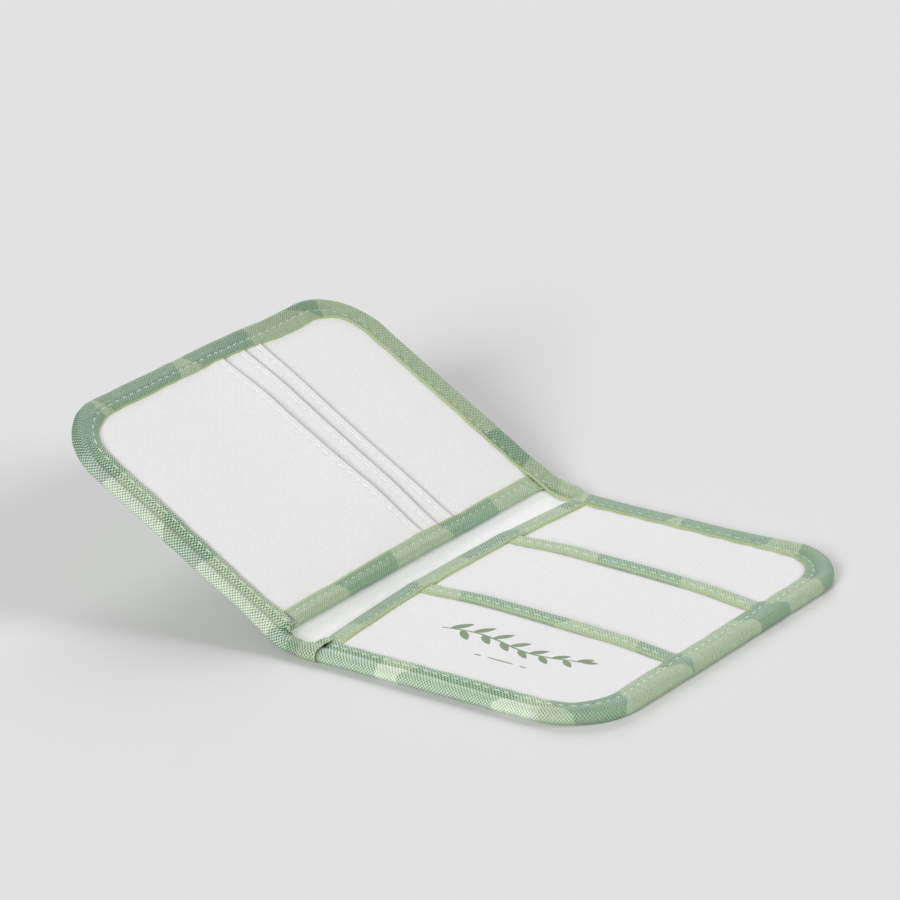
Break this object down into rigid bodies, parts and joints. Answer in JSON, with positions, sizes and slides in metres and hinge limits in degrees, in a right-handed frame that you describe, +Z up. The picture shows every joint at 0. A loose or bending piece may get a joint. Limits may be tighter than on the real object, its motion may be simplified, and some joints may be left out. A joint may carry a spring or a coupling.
{
  "type": "card holder",
  "caption": "Bifold canvas card holder lying half open: stepped card pockets on one half, bound slip pockets on the other, tape-bound edges, two fold lines.",
  "frame": {"origin": "centre of the bounding box in plan, on the surface the holder lies on", "axes": "+Z up, +Y along the two folds towards the pockets' open side, +X towards the outer edge of the half that lies flat"},
  "size_m": [0.189, 0.1414, 0.0519],
  "materials": {
    "white_canvas": "plain-weave canvas, matt, off-white",
    "binding_tape": "woven tape printed in pale green and sage blocks, matt",
    "printed_canvas": "plain-weave canvas printed in pale green and sage blocks, matt",
    "interlining": "stiff non-woven, hidden",
    "green_thread": "twisted polyester thread, slight sheen",
    "white_thread": "twisted polyester thread, slight sheen"
  },
  "bodies": {
    "right_half": {"right_outer_cover": "printed_canvas", "right_interlining": "interlining", "right_lining": "white_canvas", "right_back_panel": "white_canvas", "right_back_panel_binding": "binding_tape", "right_back_panel_stitching": "green_thread", "right_middle_pocket": "white_canvas", "right_middle_pocket_binding": "binding_tape", "right_middle_pocket_stitching": "green_thread", "right_front_pocket": "white_canvas", "right_front_pocket_binding": "binding_tape", "right_front_pocket_stitching": "green_thread", "right_edge_binding": "binding_tape", "right_edge_stitching": "green_thread", "edge_binding_closing_end": "binding_tape"},
    "spine": {"spine_outer_cover": "printed_canvas", "spine_lining": "white_canvas", "spine_near_binding": "binding_tape", "spine_near_stitching": "green_thread", "spine_far_binding": "binding_tape", "spine_far_stitching": "green_thread"},
    "left_half": {"left_outer_cover": "printed_canvas", "left_interlining": "interlining", "left_lining": "white_canvas", "left_back_panel": "white_canvas", "left_back_panel_binding": "binding_tape", "left_back_panel_stitching": "green_thread", "left_rear_pocket": "white_canvas", "left_rear_pocket_stitching": "white_thread", "left_middle_pocket": "white_canvas", "left_middle_pocket_stitching": "white_thread", "left_front_pocket": "white_canvas", "left_front_pocket_stitching": "white_thread", "left_edge_binding": "binding_tape", "left_edge_stitching": "green_thread"}
  },
  "joints": [
    {"name": "right_fold", "type": "hinge", "parent": "right_half", "child": "spine", "pos_m": [-0.00409, 0, 0.00185], "axis": [0, 1, 0], "range_deg": [-9.4, 80.6]},
    {"name": "left_fold", "type": "hinge", "parent": "spine", "child": "left_half", "pos_m": [-0.01159, 0, 0.00309], "axis": [0, 1, 0], "range_deg": [-20, 70]}
  ]
}
